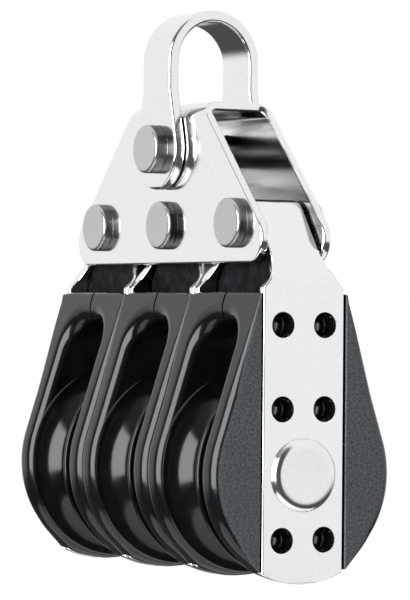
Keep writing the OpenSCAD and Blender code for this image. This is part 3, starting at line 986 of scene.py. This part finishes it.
print("a cheek has", len(cheek_rows()[0]), "rows")

# %% [markdown]
# ## The surface of a cheek
#
# Every column keeps its distance from the outline or from the window, so the flared mouth
# and the rounded edge follow the teardrop without a bevel. Over the window's arch the rows
# fan out, and above it the wall gives way to the seam between the two halves.

# %% Shell of a cheek
def cheek_shell():
    """Right half of a cheek about the axle. Each column has an inset from the outline and
    an offset from the window, and follows both outlines at that distance."""
    z, angle, at_seam, inset = cheek_rows()
    full = cheek_outline(z)
    padded = full > FOOT_Y - 0.02
    outer = np.where(padded, CHEEK_OUT, CHANNEL_X)
    rounding = np.clip((full - CHANNEL_Y) * EDGE_SHARE, THIN_EDGE, OUTER_EDGE)
    edge = np.where(padded, rounding, CHANNEL_EDGE)
    flare = 1.6 + 0.7 * np.sin(angle)
    crown_z, brow_z = ARCH_Z + ARCH_R, TOP_Z - TOP_EDGE
    climb = np.clip((z - crown_z) / (brow_z - crown_z), 0, 1)
    above = np.clip(z - brow_z, 0, None)
    mouth_top = crown_z + flare.max()
    side_z = np.where(at_seam > 0, mouth_top + climb * (brow_z - mouth_top) + above,
                      z + (mouth_top - ARCH_Z) * angle / (np.pi / 2) - ARCH_R * np.sin(angle))
    notch = at_seam * SEAM_NOTCH
    columns = []

    def column(x, foot, depth, y=None):
        ny, nz = outline_normal(foot)
        out = np.maximum(cheek_outline(foot) - inset - ny * depth, 0)
        columns.append([x, out if y is None else np.minimum(out, y), foot - nz * depth])

    for psi in np.radians(np.linspace(0, 90, 9)):
        off, depth = flare * (1 - np.cos(psi)), flare * (1 - np.sin(psi))
        on_arch = np.where(angle > 0, ARCH_X + (ARCH_R + off) * np.cos(angle), CHEEK_IN + off)
        x = np.where(at_seam > 0, SEAM_X + notch * np.sqrt(off / flare), on_arch)
        foot = np.where(at_seam > 0, crown_z + off + climb * (brow_z - crown_z - off) + above,
                        z + off * np.sin(angle))
        column(x, foot, depth)
    column(x + BESIDE * np.cos(angle), foot + BESIDE * np.sin(angle) * (1 - climb), 0)
    face_x = outer - inset
    column(face_x - edge - 0.1, side_z, 0)
    for phi in np.radians(np.linspace(0, 90, 7)):
        column(face_x - edge * (1 - np.sin(phi)), side_z, edge * (1 - np.cos(phi)))
    column(face_x, side_z, edge, CHANNEL_Y + BESIDE)
    column(np.maximum(face_x - BESIDE, CHANNEL_X), side_z, edge, CHANNEL_Y)
    column(np.full_like(z, CHANNEL_X), side_z, edge, CHANNEL_Y)
    half = np.array(columns).transpose(2, 0, 1)
    inner, floor = half[:, :1].copy(), half[:, -1:].copy()
    inner[..., 1] = floor[..., 1] = 0
    rear = half[:, ::-1] * [1, -1, 1]
    return np.concatenate([inner, half, floor, rear], axis=1)


# %% [markdown]
# ## The tongue above a cheek
#
# Above its pad each cheek half has a tongue that fills the strap up to the rivet. It is a
# rounded block that leans in with the strap. It is made as a second shell and joined on,
# because one grid for both would need a sharp step in every column.

# %% Shell of the tongue
NECK_OUT, NECK_HALF, NECK_EDGE, LEAN_FROM = 8.15, 3.6, 0.5, 26.9
NECK_ROWS = [23.0, 24.0, 25.4, 26.0, 26.9, 27.6, 28.6, 29.6, 30.5, 30.85, 31.0]
TIP_SHRINK = (0.0, 0.15, 0.5)


def neck_shell():
    """Rounded rectangles stacked upwards: each is as deep as the tongue, reaches from the
    seam to the strap, and moves in with the strap's lean. The last three shrink to a
    rounded tip."""
    lean = math.tan(math.radians(touch(STRAP_OUT, KNEE_Z - LOOP_Z, LOOP_R, 1)))
    z = np.array(NECK_ROWS)[:, None]
    shrink = np.concatenate([np.zeros(len(z) - len(TIP_SHRINK)), TIP_SHRINK])[:, None]
    far = NECK_OUT - np.clip(z - LEAN_FROM, 0, None) * lean
    half_x = (far - SEAM_X) / 2 - shrink
    x, y = rounded_rectangle(half_x, NECK_HALF - shrink, NECK_EDGE)
    return np.stack([SEAM_X + half_x + shrink + x, y, np.broadcast_to(z, x.shape)], -1)


# %% Mould the cheeks
RECESS_X, RECESS_PAST, RECESS_EASE = 6.7, 11, 0.15
cheek = solid("cheek_pattern", cheek_shell())
combine(cheek, solid("neck", neck_shell()), "UNION")
recess = [[0, RECESS_X], [LIGHT_R - RECESS_EASE, RECESS_X], [LIGHT_R, RECESS_X + RECESS_EASE],
          [LIGHT_R, RECESS_PAST], [0, RECESS_PAST]]
for y, z in LIGHT_HOLES:
    combine(cheek, solid("recess", spin(recess, "x", (0, y, z), 40)))
combine(cheek, drill("x", (0, 0, 0), BORE_R, (CHEEK_IN, CHANNEL_X)))
merge_flats(cheek)
# The tongue's faces take the second material, which is painted shade.
centres = np.zeros(len(cheek.data.polygons) * 3)
cheek.data.polygons.foreach_get("center", centres)
on_tongue = centres[2::3] > (TOP_Z + 0.05) * MM
cheek.data.polygons.foreach_set("material_index", on_tongue.astype(int))
for i in UNITS:
    for side, mirrored in (("right", False), ("left", True)):
        fit(copy_at(cheek, f"moulded_cheek_{side}_{i}", i, mirrored), CHEEK_PLASTIC[i],
            "block_frame", "cheek_plastic", f"cheek_{side}_{i}", second=SHADED_NECK_PLASTIC)
bpy.data.objects.remove(cheek)

# %% [markdown]
# ## Parts that keep their CAD shape
#
# The balls and the bearing cores are plain turned shapes already, so the CAD nodes stay
# and only their material changes.

# %% Dress the carried-over nodes
def dress(node, material):
    """Puts a material into a CAD node's own slots."""
    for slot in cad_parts[node].material_slots:
        slot.material = material
    print(node, "wears", material.name)


for i in UNITS:
    dress(f"bearing_balls_{i}", BALL_PLASTIC)
    dress(f"bearing_core_{i}", CORE_METAL)

# %% [markdown]
# ## Camera
#
# The block is looked at from the front right, from far enough away that its verticals stay
# upright. The camera stands level, a little turned about its own line of sight, and the
# framing comes from a small lens shift.

# %% Place the camera
AZIMUTH, ROLL, DISTANCE, EYE_ABOVE_AXLE = math.radians(59.69), math.radians(0.44), 0.5, 0.02193
FOCUS, SENSOR = 3420.18 / 600, 36.0
eye = Vector((DISTANCE * math.sin(AZIMUTH), -DISTANCE * math.cos(AZIMUTH), AXLE_Z + EYE_ABOVE_AXLE))
forward = Vector((-math.sin(AZIMUTH), math.cos(AZIMUTH), 0))
right, up = Vector((math.cos(AZIMUTH), math.sin(AZIMUTH), 0)), Vector((0, 0, 1))
across = right * math.cos(ROLL) + up * math.sin(ROLL)
upward = up * math.cos(ROLL) - right * math.sin(ROLL)
camera = add_object("camera", bpy.data.cameras.new("camera"))
camera.matrix_world = Matrix((
    (across.x, upward.x, -forward.x, eye.x), (across.y, upward.y, -forward.y, eye.y),
    (across.z, upward.z, -forward.z, eye.z), (0, 0, 0, 1)))
camera.data.lens, camera.data.sensor_width = FOCUS * SENSOR, SENSOR
camera.data.shift_x, camera.data.shift_y = 0.0098, 0.0272
camera.data.clip_start, camera.data.clip_end = 0.01, 20
bpy.context.scene.camera = camera
print("camera at", [round(v, 3) for v in eye], "with a lens of", round(camera.data.lens, 1), "mm")

# %% [markdown]
# ## Studio
#
# Polished steel shows only what is round it. A pale room makes the plates read nearly
# white. One dark zone in it, on the viewer's side, gives every edge its thin dark line, and
# the room darkens below the horizon, as over a table. Lamps and black cards could do this,
# but a formula on the direction has no noise. A ray straight from the camera finds white.

# %% Room
CARD_AZIMUTH = math.radians(38.5)
CARD_EDGE, HORIZON, CEILING = (0.34, 0.46), (-0.32, -0.06), (0.55, 0.8)
UNLIT, PALE, CEILING_LIGHT, CEILING_OVERLAP = 0.08, 0.91, 0.30, 0.25
world = bpy.data.worlds.new("pale room")
world.use_nodes = True
bpy.context.scene.world = world
room = Nodes(world.node_tree, "Background")
x, y, z = room.split(room.place("Generated"))
toward_card = x * math.sin(CARD_AZIMUTH) - y * math.cos(CARD_AZIMUTH)
pale = (1 - toward_card.smooth(*CARD_EDGE)) * z.smooth(*HORIZON)
overhead = z.smooth(*CEILING)
level = UNLIT + pale * (PALE - overhead * CEILING_OVERLAP) + overhead * CEILING_LIGHT
seen = room.add("ShaderNodeLightPath", {})
room.set("Strength", 1.0)
room.set("Color", room.mix(seen, room.mix(level, grey(0.0), grey(1.0)), grey(1.0)))

# %% [markdown]
# ## Light and floor
#
# One large soft panel at the front right lights the plastics and draws the long highlights
# in the rope grooves. The floor is pale paper that lies well below the block.

# %% Panel
PANEL_AZIMUTH, PANEL_FAR, PANEL_Z = math.radians(25), 0.6, AXLE_Z + 0.14
data = bpy.data.lights.new("groove strip", "AREA")
data.shape, data.size, data.size_y, data.energy = "RECTANGLE", 0.56, 0.54, 7.0
place = Vector((PANEL_FAR * math.sin(PANEL_AZIMUTH), -PANEL_FAR * math.cos(PANEL_AZIMUTH), PANEL_Z))
facing = (Vector((0, 0, PANEL_Z)) - place).to_track_quat("-Z", "Y").to_matrix().to_4x4()
panel = add_object("groove strip", data)
panel.matrix_world = Matrix.Translation(place) @ facing

# %% Floor
FLOOR_DROP, FLOOR_R, FLOOR_SIDES = 0.35, 0.4, 96
turn = np.linspace(0, 2 * np.pi, FLOOR_SIDES, endpoint=False)
rim = [FLOOR_R * np.cos(turn), FLOOR_R * np.sin(turn), np.full(FLOOR_SIDES, cad_low.z - FLOOR_DROP)]
mesh = bpy.data.meshes.new("floor")
mesh.from_pydata(np.stack(rim, -1).tolist(), [], [list(range(FLOOR_SIDES))])
floor = add_object("floor", mesh)
paper = Finish("pale floor", Roughness=0.9)
paper.set("Base Color", paper.mix(paper.noise(paper.place(), 3.0), grey(0.90), grey(0.93)))
mesh.materials.append(paper.material)
bpy.context.scene.view_settings.view_transform = "Standard"
print("floor at", round(cad_low.z - FLOOR_DROP, 3), "m, panel at", [round(v, 2) for v in place])
